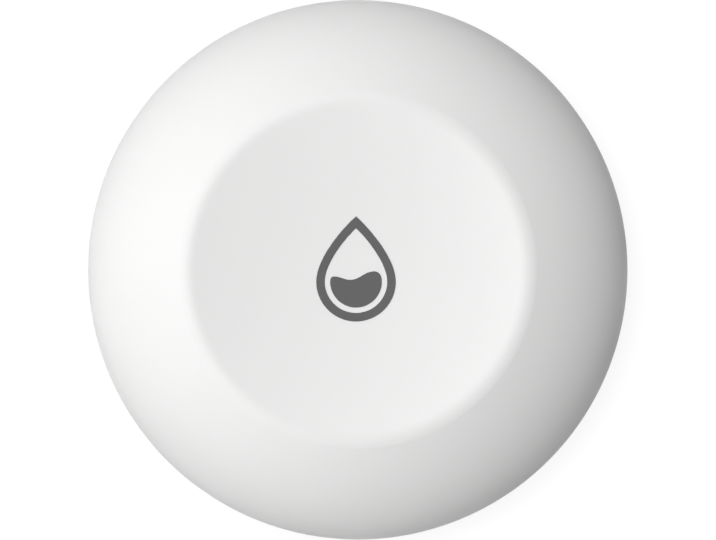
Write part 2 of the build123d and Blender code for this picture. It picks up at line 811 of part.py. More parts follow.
keep("status_led", chip(led_size, led_size, led_height, guide_place_share, guide_angle))
keep("radio_chip", chip(radio_size, radio_size, radio_height, radio_place_share, radio_angle))
keep("chip_antenna", chip(antenna_length, antenna_width, antenna_height, antenna_place_share, antenna_angle))
keep("crystal", chip(crystal_length, crystal_width, crystal_height, crystal_place_share, crystal_angle))
keep("regulator", chip(regulator_length, regulator_width, regulator_height, regulator_place_share,
                       regulator_angle))
keep("capacitors", chip_group(capacitor_length, capacitor_width, capacitor_height, small_part_share,
                              capacitor_angles))
keep("resistors", chip_group(capacitor_length, capacitor_width, resistor_height, small_part_share,
                             resistor_angles))

keep("sensing_chip", chip(sensing_length, sensing_width, sensing_height, sensing_place_share, sensing_angle))

with BuildPart() as sensing_chip_leads:
    with BuildSketch(Plane.XY.offset(board_top_z)):
        with Locations(Location(polar(sensing_place_share * board_radius, sensing_angle), sensing_angle)):
            with GridLocations(sensing_width + sensing_lead_length, sensing_lead_pitch, 2, sensing_lead_rows):
                Rectangle(sensing_lead_length, sensing_lead_width)
    extrude(amount=sensing_lead_height)
keep("sensing_chip_leads", sensing_chip_leads)

with BuildPart() as light_guide:
    with BuildSketch(Plane.XY.offset(board_top_z + led_height + guide_led_gap)):
        with Locations((guide_x, guide_y)):
            Circle(guide_radius)
    extrude(amount=guide_top_z - 2 * contact_gap - board_top_z - led_height - guide_led_gap)
keep("light_guide", light_guide)
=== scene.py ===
import bpy
import math
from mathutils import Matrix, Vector


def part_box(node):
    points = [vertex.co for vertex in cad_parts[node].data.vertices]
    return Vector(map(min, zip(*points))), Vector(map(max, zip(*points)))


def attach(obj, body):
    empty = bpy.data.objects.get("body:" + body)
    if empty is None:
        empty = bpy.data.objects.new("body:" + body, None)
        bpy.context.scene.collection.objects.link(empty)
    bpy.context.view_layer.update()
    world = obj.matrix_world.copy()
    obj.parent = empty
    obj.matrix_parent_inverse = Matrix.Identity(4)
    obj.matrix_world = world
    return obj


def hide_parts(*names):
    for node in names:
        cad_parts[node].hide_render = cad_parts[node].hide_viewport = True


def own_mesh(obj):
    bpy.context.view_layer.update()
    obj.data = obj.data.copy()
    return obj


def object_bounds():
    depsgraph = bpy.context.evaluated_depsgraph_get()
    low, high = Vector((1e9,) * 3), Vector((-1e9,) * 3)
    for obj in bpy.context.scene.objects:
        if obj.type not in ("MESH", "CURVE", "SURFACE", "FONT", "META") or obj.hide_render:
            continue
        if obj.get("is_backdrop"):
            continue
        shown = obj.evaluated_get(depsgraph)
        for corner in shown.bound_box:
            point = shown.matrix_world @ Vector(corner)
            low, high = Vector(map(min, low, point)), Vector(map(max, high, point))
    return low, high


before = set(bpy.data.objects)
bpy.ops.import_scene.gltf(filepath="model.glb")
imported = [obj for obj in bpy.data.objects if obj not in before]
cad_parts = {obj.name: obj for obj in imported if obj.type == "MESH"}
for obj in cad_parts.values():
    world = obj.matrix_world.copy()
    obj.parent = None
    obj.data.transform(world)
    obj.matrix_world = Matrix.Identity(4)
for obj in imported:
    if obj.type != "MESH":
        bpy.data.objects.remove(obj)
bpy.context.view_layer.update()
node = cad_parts
print("frame loaded:", len(node), "nodes")


# nothing stays selected between two steps
def selectNone():
    if bpy.context.object and bpy.context.object.mode != "OBJECT":
        bpy.ops.object.mode_set(mode="OBJECT")
    bpy.ops.object.select_all(action="DESELECT")


def wear(piece, finish):
    piece.data.materials.clear()
    piece.data.materials.append(finish)


# the shared start of each finish: object coordinates, moved to the middle of the piece
def startFinish(name, centre=(0, 0, 0), turn=0.0):
    finish = bpy.data.materials.new(name)
    finish.use_nodes = True
    tree = finish.node_tree
    shader = tree.nodes["Principled BSDF"]
    place = tree.nodes.new("ShaderNodeTexCoord")
    mapping = tree.nodes.new("ShaderNodeMapping")
    mapping.vector_type = "TEXTURE"      # location and turn are those of the pattern itself
    mapping.inputs["Location"].default_value = centre
    mapping.inputs["Rotation"].default_value = (0, 0, math.radians(turn))
    tree.links.new(place.outputs["Object"], mapping.inputs["Vector"])
    return finish, tree, shader, mapping.outputs["Vector"]


def noise(tree, spot, size, detail=3.0, stretch=None):
    texture = tree.nodes.new("ShaderNodeTexNoise")
    texture.inputs["Scale"].default_value = 1 / size
    texture.inputs["Detail"].default_value = detail
    if stretch:
        squeeze = tree.nodes.new("ShaderNodeMapping")
        squeeze.inputs["Scale"].default_value = stretch
        tree.links.new(spot, squeeze.inputs["Vector"])
        spot = squeeze.outputs["Vector"]
    tree.links.new(spot, texture.inputs["Vector"])
    return texture.outputs["Fac"]


noiseRange = (0.3, 0.7)        # nearly all of a noise lies between these two


def spread(tree, fac, low, high, out):
    ramp = tree.nodes.new("ShaderNodeMapRange")
    ramp.inputs["From Min"].default_value, ramp.inputs["From Max"].default_value = noiseRange
    ramp.inputs["To Min"].default_value = low
    ramp.inputs["To Max"].default_value = high
    tree.links.new(fac, ramp.inputs["Value"])
    tree.links.new(ramp.outputs["Result"], out)


def tint(tree, fac, first, second, out):
    mix = tree.nodes.new("ShaderNodeMix")
    mix.data_type = "RGBA"
    mix.inputs["A"].default_value = (*first, 1)
    mix.inputs["B"].default_value = (*second, 1)
    tree.links.new(fac, mix.inputs["Factor"])
    tree.links.new(mix.outputs["Result"], out)


def relief(tree, shader, height, depth):
    bump = tree.nodes.new("ShaderNodeBump")
    bump.inputs["Distance"].default_value = depth
    tree.links.new(height, bump.inputs["Height"])
    tree.links.new(bump.outputs["Normal"], shader.inputs["Normal"])


glossFiner = 3                 # patches of gloss are this many times smaller than those of colour
grainDetail, brushDetail = 2.0, 4.0


# moulded or cast surface: two close colours, an uneven gloss and a fine grain
def mouldedFinish(name, look):
    finish, tree, shader, spot = startFinish(name)
    shader.inputs["Metallic"].default_value = look.get("metallic", 0.0)
    patches = noise(tree, spot, look["patch"])
    tint(tree, patches, look["colour"], look["shade"], shader.inputs["Base Color"])
    sheen = noise(tree, spot, look["patch"] / glossFiner)
    spread(tree, sheen, *look["gloss"], shader.inputs["Roughness"])
    relief(tree, shader, noise(tree, spot, look["grain"], grainDetail), look["depth"])
    return finish


ringLines = {"perUnit": 3.2, "waver": 0.6, "waverScale": 3.0}      # rings of a wave texture at a scale of one


# turned or spun metal: rings round one axis, or a brushed grain along the piece
def turnedFinish(name, look, centre=(0, 0, 0), turn=0.0):
    finish, tree, shader, spot = startFinish(name, centre, turn)
    shader.inputs["Metallic"].default_value = 1.0
    patches = noise(tree, spot, look["patch"])
    tint(tree, patches, look["colour"], look["shade"], shader.inputs["Base Color"])
    if "rings" in look:
        lines = tree.nodes.new("ShaderNodeTexWave")
        lines.wave_type = "RINGS"
        lines.rings_direction = "Z"
        lines.inputs["Scale"].default_value = 1 / (ringLines["perUnit"] * look["rings"])
        lines.inputs["Distortion"].default_value = ringLines["waver"]
        lines.inputs["Detail Scale"].default_value = ringLines["waverScale"]
        tree.links.new(spot, lines.inputs["Vector"])
        marks = lines.outputs["Fac"]
    else:
        marks = noise(tree, spot, look["brush"], brushDetail, look["stretch"])
    spread(tree, marks, *look["gloss"], shader.inputs["Roughness"])
    relief(tree, shader, marks, look["depth"])
    return finish


# white shells: satin on top, a little rougher below
shellLook = {
    "colour": (0.80, 0.80, 0.795),
    "shade": (0.785, 0.786, 0.782),
    "patch": 0.014,
    "gloss": (0.40, 0.48),
    "grain": 0.00022,
    "depth": 0.0000012,
}
baseLook = {
    "colour": (0.79, 0.79, 0.785),
    "shade": (0.77, 0.772, 0.768),
    "patch": 0.010,
    "gloss": (0.50, 0.60),
    "grain": 0.00030,
    "depth": 0.000004,
}
baseFinish = mouldedFinish("baseWhiteMatte", baseLook)
wear(node["top_shell"], mouldedFinish("shellWhiteSatin", shellLook))
wear(node["base_shell"], baseFinish)
wear(node["battery_cover"], baseFinish)
print("white shells finished")

# printed drop
printLook = {
    "colour": (0.099, 0.099, 0.100),
    "shade": (0.107, 0.107, 0.108),
    "patch": 0.004,
    "gloss": (0.45, 0.55),
    "grain": 0.00012,
    "depth": 0.000002,
}
printFinish = mouldedFinish("printedInk", printLook)
wear(node["drop_symbol"], printFinish)

# rubber and silicone
footLook = {
    "colour": (0.17, 0.17, 0.175),
    "shade": (0.14, 0.14, 0.145),
    "patch": 0.002,
    "gloss": (0.75, 0.88),
    "grain": 0.00012,
    "depth": 0.00001,
}
sealLook = {
    "colour": (0.022, 0.022, 0.023),
    "shade": (0.034, 0.034, 0.035),
    "patch": 0.003,
    "gloss": (0.42, 0.58),
    "grain": 0.00025,
    "depth": 0.000006,
}
padLook = {
    "colour": (0.62, 0.63, 0.64),
    "shade": (0.56, 0.57, 0.58),
    "patch": 0.002,
    "gloss": (0.35, 0.5),
    "grain": 0.0002,
    "depth": 0.000005,
}
footFinish = mouldedFinish("footRubber", footLook)
sealFinish = mouldedFinish("sealRubber", sealLook)
for name in ("rubber_foot_1", "rubber_foot_2", "rubber_foot_3"):
    wear(node[name], footFinish)
for name in ("housing_seal", "probe_seal_left", "probe_seal_right", "battery_cover_seal"):
    wear(node[name], sealFinish)
wear(node["press_pad"], mouldedFinish("padSilicone", padLook))
print("rubber finished")

# probes, nuts, screws and springs
probeLook = {
    "colour": (0.78, 0.70, 0.55),
    "shade": (0.72, 0.64, 0.49),
    "patch": 0.0015,
    "rings": 0.00012,
    "gloss": (0.16, 0.28),
    "depth": 0.000002,
}
nutLook = {
    "colour": (0.80, 0.61, 0.30),
    "shade": (0.70, 0.51, 0.23),
    "patch": 0.002,
    "brush": 0.0004,
    "stretch": (1, 1, 6),
    "gloss": (0.22, 0.38),
    "depth": 0.000003,
}
screwLook = {
    "colour": (0.56, 0.57, 0.58),
    "shade": (0.46, 0.47, 0.49),
    "patch": 0.0012,
    "brush": 0.0003,
    "stretch": (1, 1, 4),
    "gloss": (0.24, 0.4),
    "depth": 0.000003,
}
springLook = {
    "colour": (0.80, 0.57, 0.38),
    "shade": (0.72, 0.49, 0.31),
    "patch": 0.002,
    "brush": 0.00025,
    "stretch": (0.15, 1, 1),
    "gloss": (0.2, 0.36),
    "depth": 0.000003,
}
for side in ("left", "right"):
    low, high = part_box(f"probe_pin_{side}")
    middle = [(a + b) / 2 for a, b in zip(low, high)]
    wear(node[f"probe_pin_{side}"], turnedFinish("probePlating" + side.title(), probeLook, middle))
springFinish = turnedFinish("springBronze", springLook)
wear(node["probe_spring_left"], springFinish)
wear(node["probe_spring_right"], springFinish)
wear(node["battery_negative_contact"], turnedFinish("contactBronze", springLook, turn=90.0))
wear(node["battery_positive_contact_1"], turnedFinish("contactBronzeFirst", springLook, turn=60.0))
wear(node["battery_positive_contact_2"], turnedFinish("contactBronzeSecond", springLook, turn=240.0))
wear(node["probe_nuts"], turnedFinish("nutBrass", nutLook))
screwFinish = turnedFinish("screwZinc", screwLook)
wear(node["housing_screws"], screwFinish)
wear(node["board_screws"], screwFinish)
print("metal finished")

# coin cell
canLook = {
    "colour": (0.66, 0.66, 0.65),
    "shade": (0.60, 0.60, 0.59),
    "patch": 0.006,
    "metallic": 1.0,
    "gloss": (0.20, 0.32),
    "grain": 0.00025,
    "depth": 0.0000012,
}
gasketLook = {
    "colour": (0.30, 0.31, 0.33),
    "shade": (0.26, 0.27, 0.29),
    "patch": 0.003,
    "gloss": (0.35, 0.45),
    "grain": 0.0003,
    "depth": 0.000003,
}
coreLook = {
    "colour": (0.035, 0.035, 0.037),
    "shade": (0.06, 0.06, 0.062),
    "patch": 0.0008,
    "gloss": (0.8, 0.95),
    "grain": 0.00015,
    "depth": 0.00002,
}
canFinish = mouldedFinish("cellSteel", canLook)
wear(node["battery_can"], canFinish)
wear(node["battery_cap"], canFinish)
wear(node["battery_gasket"], mouldedFinish("cellGasket", gasketLook))
wear(node["battery_core"], mouldedFinish("cellFilling", coreLook))
print("cell finished")

# board and its parts
boardLook = {
    "colour": (0.012, 0.10, 0.045),
    "shade": (0.018, 0.13, 0.06),
    "patch": 0.003,
    "gloss": (0.28, 0.4),
    "grain": 0.0004,
    "depth": 0.000004,
}
chipLook = {
    "colour": (0.018, 0.018, 0.019),
    "shade": (0.028, 0.028, 0.029),
    "patch": 0.002,
    "gloss": (0.5, 0.62),
    "grain": 0.00015,
    "depth": 0.000006,
}
ceramicLook = {
    "colour": (0.62, 0.58, 0.50),
    "shade": (0.56, 0.52, 0.45),
    "patch": 0.002,
    "gloss": (0.45, 0.6),
    "grain": 0.0002,
    "depth": 0.000004,
}
capacitorLook = {
    "colour": (0.42, 0.30, 0.19),
    "shade": (0.36, 0.25, 0.15),
    "patch": 0.001,
    "gloss": (0.4, 0.5),
    "grain": 0.0001,
    "depth": 0.000003,
}
tinLook = {
    "colour": (0.72, 0.72, 0.71),
    "shade": (0.62, 0.62, 0.61),
    "patch": 0.001,
    "brush": 0.0003,
    "stretch": (1, 1, 1),
    "gloss": (0.22, 0.4),
    "depth": 0.000004,
}
ledLook = {
    "colour": (0.80, 0.80, 0.76),
    "shade": (0.78, 0.74, 0.55),
    "patch": 0.0012,
    "gloss": (0.3, 0.45),
    "grain": 0.0001,
    "depth": 0.000002,
}
phosphorLook = {**ledLook, "colour": (0.78, 0.62, 0.12), "shade": (0.80, 0.68, 0.2)}
inkLook = {**ledLook, "colour": (0.5, 0.5, 0.5), "shade": (0.42, 0.42, 0.42)}
silkLook = {**ledLook, "shade": (0.70, 0.70, 0.68), "gloss": (0.5, 0.7)}
traceLook = {**boardLook, "colour": (0.03, 0.23, 0.10), "shade": (0.045, 0.27, 0.12)}
goldLook = {**tinLook, "colour": (0.86, 0.65, 0.30), "shade": (0.78, 0.57, 0.24)}
probeThreadLook = {**tinLook, "colour": (0.78, 0.70, 0.55), "shade": (0.72, 0.64, 0.49)}
chipFinish = mouldedFinish("chipBlack", chipLook)
tinFinish = turnedFinish("solderedTin", tinLook)
capacitorFinish = mouldedFinish("capacitorBrown", capacitorLook)
ceramicFinish = mouldedFinish("aerialCeramic", ceramicLook)
lampFinish = mouldedFinish("lampBody", ledLook)
phosphorFinish = mouldedFinish("lampPhosphor", phosphorLook)
inkFinish = mouldedFinish("chipDot", inkLook)
silkFinish = mouldedFinish("boardOutline", silkLook)
traceFinish = mouldedFinish("boardTrace", traceLook)
goldFinish = turnedFinish("boardGold", goldLook)
probeThreadFinish = turnedFinish("probeThread", probeThreadLook)
wear(node["circuit_board"], mouldedFinish("boardMask", boardLook))
for name in ("radio_chip", "sensing_chip", "regulator", "switch_body", "resistors"):
    wear(node[name], chipFinish)
for name in ("crystal", "switch_plate", "switch_dome", "switch_terminals", "sensing_chip_leads"):
    wear(node[name], tinFinish)
wear(node["capacitors"], capacitorFinish)
wear(node["chip_antenna"], ceramicFinish)
wear(node["switch_stem"], mouldedFinish("stemBlack", chipLook))
wear(node["status_led"], lampFinish)

# light guide: clear plastic, where "bends" is its index of refraction
guideLook = {
    "colour": (0.93, 0.94, 0.95),
    "bends": 1.49,
    "gloss": (0.08, 0.16),
    "waver": 0.0008,
    "depth": 0.000004,
}
guideFinish, tree, shader, spot = startFinish("guideClear")
shader.inputs["Base Color"].default_value = (*guideLook["colour"], 1)
shader.inputs["Transmission Weight"].default_value = 1.0
shader.inputs["IOR"].default_value = guideLook["bends"]
ripple = noise(tree, spot, guideLook["waver"])
spread(tree, ripple, *guideLook["gloss"], shader.inputs["Roughness"])
relief(tree, shader, ripple, guideLook["depth"])
wear(node["light_guide"], guideFinish)
print("board finished")

# how new pieces are cut, copied and set down: their sizes are in millimetres
mm = 0.001
weld = 0.0000005               # corners closer than this, in metres, are made one
flatOnly, withRim = 0.99, 0.9  # a picked face looks this closely along its axis
smoothWithin = 35              # faces that meet at less than this angle are shaded as one


def toRadians(*angles):
    return tuple(math.radians(angle) for angle in angles)


def atAngle(radius, angle):
    return radius * math.cos(math.radians(angle)), radius * math.sin(math.radians(angle))


def settle(piece):
    selectNone()
    piece.select_set(True)
    bpy.context.view_layer.objects.active = piece
    bpy.ops.object.transform_apply(location=True, rotation=True, scale=True)
    return piece


def mergeDoubles():
    bpy.ops.mesh.select_all(action="SELECT")
    bpy.ops.mesh.remove_doubles(threshold=weld)


# a block with rounded edges, made round its own middle
def block(centre, size, edge, finish, segments=2):
    selectNone()
    bpy.ops.mesh.primitive_cube_add(size=mm, location=[c * mm for c in centre], scale=size)
    piece = settle(bpy.context.object)
    bpy.ops.object.mode_set(mode="EDIT")
    bpy.ops.mesh.select_all(action="SELECT")
    bpy.ops.mesh.bevel(offset=edge * mm, segments=segments, affect="EDGES")
    bpy.ops.object.mode_set(mode="OBJECT")
    wear(piece, finish)
    return piece


def clearPicks(piece, edgeMode):
    bpy.ops.object.mode_set(mode="OBJECT")
    selectNone()
    piece.select_set(True)
    bpy.context.view_layer.objects.active = piece
    bpy.context.tool_settings.mesh_select_mode = (False, edgeMode, not edgeMode)
    for part in (*piece.data.vertices, *piece.data.edges, *piece.data.polygons):
        part.select = False


def pickFaces(piece, test):
    clearPicks(piece, False)
    for face in piece.data.polygons:
        face.select = test(face.normal)
    bpy.ops.object.mode_set(mode="EDIT")


# edges that lie level, no nearer to the z axis than the radius, in metres
def pickLevelEdges(piece, radius=0.0):
    clearPicks(piece, True)
    spots = [corner.co for corner in piece.data.vertices]
    for edge in piece.data.edges:
        start, end = (spots[corner] for corner in edge.vertices)
        level = abs(start.z - end.z) < weld
        edge.select = level and min(start.xy.length, end.xy.length) >= radius
    bpy.ops.object.mode_set(mode="EDIT")


def disc(centre, radius, height, edge, finish, vertices=32):
    selectNone()
    bpy.ops.mesh.primitive_cylinder_add(vertices=vertices, radius=radius * mm, depth=height * mm,
                                        location=[c * mm for c in centre])
    piece = settle(bpy.context.object)
    pickLevelEdges(piece)
    bpy.ops.mesh.bevel(offset=edge * mm, segments=2, affect="EDGES")
    bpy.ops.object.mode_set(mode="OBJECT")
    wear(piece, finish)
    return piece


# a ring with a round section, flattened to its height
def ring(centre, look, finish):
    selectNone()
    bpy.ops.mesh.primitive_torus_add(location=[c * mm for c in centre], major_segments=look["sides"],
                                     minor_segments=look["sectionSides"], major_radius=look["radius"] * mm,
                                     minor_radius=look["section"] * mm)
    piece = bpy.context.object
    piece.scale.z = look["height"] / look["section"]
    wear(piece, finish)
    return settle(piece)


def pull(shift):
    bpy.ops.mesh.extrude_region_move(TRANSFORM_OT_translate={"value": [s * mm for s in shift]})


def copyOf(piece):
    twin = piece.copy()
    twin.data = piece.data.copy()
    bpy.context.scene.collection.objects.link(twin)
    return twin


# a copy of a cut node with its triangles joined up, and nearly flat faces made one where asked
def mergedCopy(name, source, flatWithin=0.0):
    twin = bpy.data.objects.new(name, source.data.copy())
    bpy.context.scene.collection.objects.link(twin)
    clearPicks(twin, False)
    bpy.ops.object.mode_set(mode="EDIT")
    mergeDoubles()
    if flatWithin:
        bpy.ops.mesh.dissolve_limited(angle_limit=math.radians(flatWithin))
    bpy.ops.object.mode_set(mode="OBJECT")
    bpy.ops.mesh.customdata_custom_splitnormals_clear()
    return twin


# a piece made round the origin is set down at a radius and an angle of the part
def stand(piece, radius, angle):
    piece.location = (*atAngle(radius * mm, angle), 0)
    piece.rotation_euler = toRadians(0, 0, angle)
    return settle(piece)


# a copy of the pattern at each angle; the pattern itself is used up
def standRound(pattern, radius, angles):
    pieces = [stand(copyOf(pattern), radius, angle) for angle in angles]
    bpy.data.objects.remove(pattern)
    return pieces


def joined(name, pieces):
    selectNone()
    for piece in pieces:
        piece.select_set(True)
    bpy.context.view_layer.objects.active = pieces[0]
    if len(pieces) > 1:
        bpy.ops.object.join()
    whole = bpy.context.object
    whole.name = whole.data.name = name
    return whole


def finished(name, pieces, body, slot, *nodes):
    whole = settle(joined(name, pieces))
    bpy.ops.object.shade_smooth_by_angle(angle=math.radians(smoothWithin))
    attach(whole, body)
    if nodes:
        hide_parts(*nodes)
    print("made", name)
    return whole


# parts made round the origin are set down on the board together, as one piece
def setDown(name, parts, look, slot, *nodes):
    whole = stand(joined(name, parts), look["radius"], look["angle"])
    return finished(name, [whole], "housing", slot, *nodes)


# a thin raised line through corners at one height: a chain of points, given a round section and flattened
def line(corners, height, width, thickness, finish, closed=False):
    selectNone()
    startX, startY = corners[0]
    bpy.ops.mesh.primitive_plane_add(size=mm, location=(startX * mm, startY * mm, height * mm))
    settle(bpy.context.object)
    bpy.context.tool_settings.mesh_select_mode = (True, False, False)
    bpy.ops.object.mode_set(mode="EDIT")
    bpy.ops.mesh.select_all(action="SELECT")
    bpy.ops.mesh.merge(type="CENTER")
    path = list(corners) + ([corners[0]] if closed else [])
    for here, there in zip(path, path[1:]):
        pull((there[0] - here[0], there[1] - here[1], 0))
    mergeDoubles()                       # the last corner of a closed line meets the first
    bpy.ops.object.mode_set(mode="OBJECT")
    bpy.ops.object.convert(target="CURVE")
    drawn = bpy.context.object
    drawn.data.bevel_depth = width / 2 * mm
    drawn.data.bevel_resolution = 1
    drawn.data.use_fill_caps = True
    bpy.ops.object.convert(target="MESH")
    bpy.ops.object.mode_set(mode="EDIT")
    mergeDoubles()                       # the caps are joined to the line
    bpy.ops.object.mode_set(mode="OBJECT")
    drawn = bpy.context.object
    drawn.location.z = height * mm * (1 - thickness / width)
    drawn.scale.z = thickness / width
    settle(drawn)
    wear(drawn, finish)
    return drawn


boardTop, boardBottom = 7.8, 6.8

# capacitors and resistors: a body, two tinned ends and the solder under them
capacitorShape = {"length": 1.6, "width": 0.8, "height": 0.8, "end": 0.3, "edge": 0.06, "solder": 0.22,
                  "radius": 14.308, "angles": (170, 190, 225, 310, 321)}
resistorShape = {"length": 1.6, "width": 0.8, "height": 0.45, "end": 0.25, "edge": 0.05, "solder": 0.2,
                 "radius": 14.308, "angles": (16, 27, 344, 62, 118, 240)}
# the body is slimmer than its ends and reaches into them; the solder is given in shares of the end
endShape = {"slimmer": 0.06, "overlap": 0.05, "solderWidth": 0.96, "solderHeight": 0.4, "solderEdge": 0.02,
            "solderTop": (0.92, 0.4, 1), "solderLean": 0.3}


def smallPart(look, finish):
    width, length, height = look["width"], look["length"], look["height"]
    middle = boardTop + height / 2
    bodySize = (width - endShape["slimmer"], length - 2 * look["end"] + endShape["overlap"],
                height - endShape["slimmer"])
    parts = [block((0, 0, middle), bodySize, look["edge"], finish)]
    rise = height * endShape["solderHeight"]
    for side in (-1, 1):
        parts.append(block((0, side * (length - look["end"]) / 2, middle), (width, look["end"], height),
                           look["edge"], tinFinish))
        foot = block((0, side * (length + look["solder"]) / 2, boardTop + rise / 2),
                     (width * endShape["solderWidth"], look["solder"], rise), endShape["solderEdge"],
                     tinFinish)
        pickFaces(foot, lambda normal: normal.z > withRim)
        bpy.ops.transform.resize(value=endShape["solderTop"])
        bpy.ops.transform.translate(value=(0, -side * look["solder"] * endShape["solderLean"] * mm, 0))
        bpy.ops.object.mode_set(mode="OBJECT")
        parts.append(foot)
    return joined("smallPart", parts)


for name, look, finish, slot, cut in (
        ("capacitorSet", capacitorShape, capacitorFinish, "chip_ceramic", "capacitors"),
        ("resistorSet", resistorShape, chipFinish, "chip_black", "resistors")):
    pieces = standRound(smallPart(look, finish), look["radius"], look["angles"])
    finished(name, pieces, "housing", slot, cut)


# what the chips share: a moulded body, a dot at its first lead, and rows of bent leads
def chipBody(look):
    height = look["top"] - look["rest"]
    middle = boardTop + look["rest"] + height / 2
    return block((0, 0, middle), (*look["size"], height), look["edge"], chipFinish)


def chipDot(look):
    x, y = (side / 2 - look["dotInset"] for side in look["size"])
    return disc((-x, y, boardTop + look["top"]), look["dot"], look["dotHeight"], look["dotEdge"], inkFinish)


# shoulder, fall and toe are shares of the lead's reach
leadShape = {"root": 0.24, "out": 0.06, "edge": 0.02, "shoulder": 0.25, "fall": 0.2, "toe": 0.42}


def bentLead(look):
    knee, reach, thick = look["knee"], look["reach"], look["leadThick"]
    lead = block((look["size"][0] / 2 + leadShape["out"], 0, boardTop + knee),
                 (leadShape["root"], look["leadWidth"], thick), leadShape["edge"], tinFinish, 1)
    pickFaces(lead, lambda normal: normal.x > flatOnly)
    pull((reach * leadShape["shoulder"], 0, 0))
    pull((reach * leadShape["fall"], 0, thick / 2 - knee))
    pull((reach * leadShape["toe"], 0, 0))
    bpy.ops.object.mode_set(mode="OBJECT")
    return lead


# each row is given as its side, how many leads it has, and their pitch
def leadRows(look):
    pattern = bentLead(look)
    leads = []
    for side, count, pitch in look["rows"]:
        for place in range(count):
            lead = copyOf(pattern)
            lead.rotation_euler = toRadians(0, 0, 0 if side > 0 else 180)
            lead.location.y = (place - (count - 1) / 2) * pitch * mm
            leads.append(settle(lead))
    bpy.data.objects.remove(pattern)
    return leads


# sensing chip: four leads on each side
sensingLook = {"size": (3.9, 4.9), "top": 1.4, "rest": 0.12, "edge": 0.14, "radius": 10.996, "angle": 0,
               "dot": 0.28, "dotHeight": 0.03, "dotEdge": 0.01, "dotInset": 0.7, "leadWidth": 0.4,
               "leadThick": 0.16, "knee": 0.62, "reach": 1.0, "rows": ((-1, 4, 1.27), (1, 4, 1.27))}
parts = [chipBody(sensingLook), chipDot(sensingLook)]
setDown("sensingChip", parts, sensingLook, "chip_black", "sensing_chip")
setDown("sensingLeads", leadRows(sensingLook), sensingLook, "can_metal", "sensing_chip_leads")

# regulator: three leads on one side and two on the other
regulatorLook = {"size": (1.6, 2.9), "top": 1.1, "rest": 0.1, "edge": 0.1, "radius": 10.996, "angle": 315,
                 "leadWidth": 0.4, "leadThick": 0.13, "knee": 0.5, "reach": 0.6,
                 "rows": ((1, 3, 0.95), (-1, 2, 1.9))}
parts = [chipBody(regulatorLook), *leadRows(regulatorLook)]
setDown("regulatorChip", parts, regulatorLook, "chip_black", "regulator")

# radio chip: a flat body with pads along its four sides
radioLook = {"size": (5.0, 5.0), "top": 0.85, "rest": 0.04, "edge": 0.05, "radius": 10.192, "angle": 180,
             "dot": 0.22, "dotHeight": 0.02, "dotEdge": 0.006, "dotInset": 0.6, "padPitch": 0.5,
             "padCount": 8, "padSize": (0.3, 0.24, 0.2), "padInset": 0.1, "padEdge": 0.02}
parts = [chipBody(radioLook), chipDot(radioLook)]
padX = radioLook["size"][0] / 2 - radioLook["padInset"]
padY = -(radioLook["padCount"] - 1) / 2 * radioLook["padPitch"]
pad = block((padX, padY, boardTop + radioLook["padSize"][2] / 2), radioLook["padSize"], radioLook["padEdge"],
            tinFinish, 1)
row = pad.modifiers.new("row", "ARRAY")
row.count = radioLook["padCount"]
row.use_relative_offset = False
row.use_constant_offset = True
row.constant_offset_displace = (0, radioLook["padPitch"] * mm, 0)
bpy.ops.object.modifier_apply(modifier="row")
parts += standRound(pad, 0, (0, 90, 180, 270))
setDown("radioChip", parts, radioLook, "chip_black", "radio_chip")

# crystal: a ceramic tray with a metal lid that is stepped round its edge
crystalLook = {"size": (2.5, 3.2), "tray": 0.35, "trayEdge": 0.05, "top": 0.7, "rim": 0.12, "lidEdge": 0.07,
               "step": 0.22, "stepWidth": 0.04, "stepDepth": 0.05, "radius": 9.8, "angle": 140}
trayHeight = crystalLook["tray"]
tray = block((0, 0, boardTop + trayHeight / 2), (*crystalLook["size"], trayHeight), crystalLook["trayEdge"],
             chipFinish)
lidHeight = crystalLook["top"] - trayHeight
lidSize = [side - 2 * crystalLook["rim"] for side in crystalLook["size"]]
lid = block((0, 0, boardTop + trayHeight + lidHeight / 2), (*lidSize, lidHeight), crystalLook["lidEdge"],
            tinFinish)
pickFaces(lid, lambda normal: normal.z > flatOnly)
bpy.ops.mesh.inset(thickness=crystalLook["step"] * mm, depth=0)
bpy.ops.mesh.inset(thickness=crystalLook["stepWidth"] * mm, depth=-crystalLook["stepDepth"] * mm)
bpy.ops.object.mode_set(mode="OBJECT")
setDown("crystalCan", [tray, lid], crystalLook, "can_metal", "crystal")

# aerial: a ceramic bar with tinned ends and a folded line on top
aerialLook = {"size": (2.0, 7.0, 0.8), "end": 0.5, "edge": 0.06, "slimmer": 0.06, "overlap": 0.1,
              "lower": 0.04, "folds": 7, "foldReach": 0.6, "line": 0.18, "lineThickness": 0.06,
              "lineSunk": 0.02, "radius": 17.209, "angle": 180}
width, length, height = aerialLook["size"]
span = length - 2 * aerialLook["end"]
barSize = (width - aerialLook["slimmer"], span + aerialLook["overlap"], height - aerialLook["lower"])
parts = [block((0, 0, boardTop + height / 2), barSize, aerialLook["edge"], ceramicFinish)]
for side in (-1, 1):
    parts.append(block((0, side * (length - aerialLook["end"]) / 2, boardTop + height / 2),
                       (width, aerialLook["end"], height), aerialLook["edge"], tinFinish))
corners = []
for fold in range(aerialLook["folds"] + 1):
    y = -span / 2 + span * fold / aerialLook["folds"]
    x = aerialLook["foldReach"] * (1 if fold % 2 else -1)
    corners += [(-x, y), (x, y)] if fold else [(x, y)]
parts.append(line(corners, boardTop + height - aerialLook["lineSunk"], aerialLook["line"],
                  aerialLook["lineThickness"], tinFinish))
setDown("aerialChip", parts, aerialLook, "chip_ceramic", "chip_antenna")

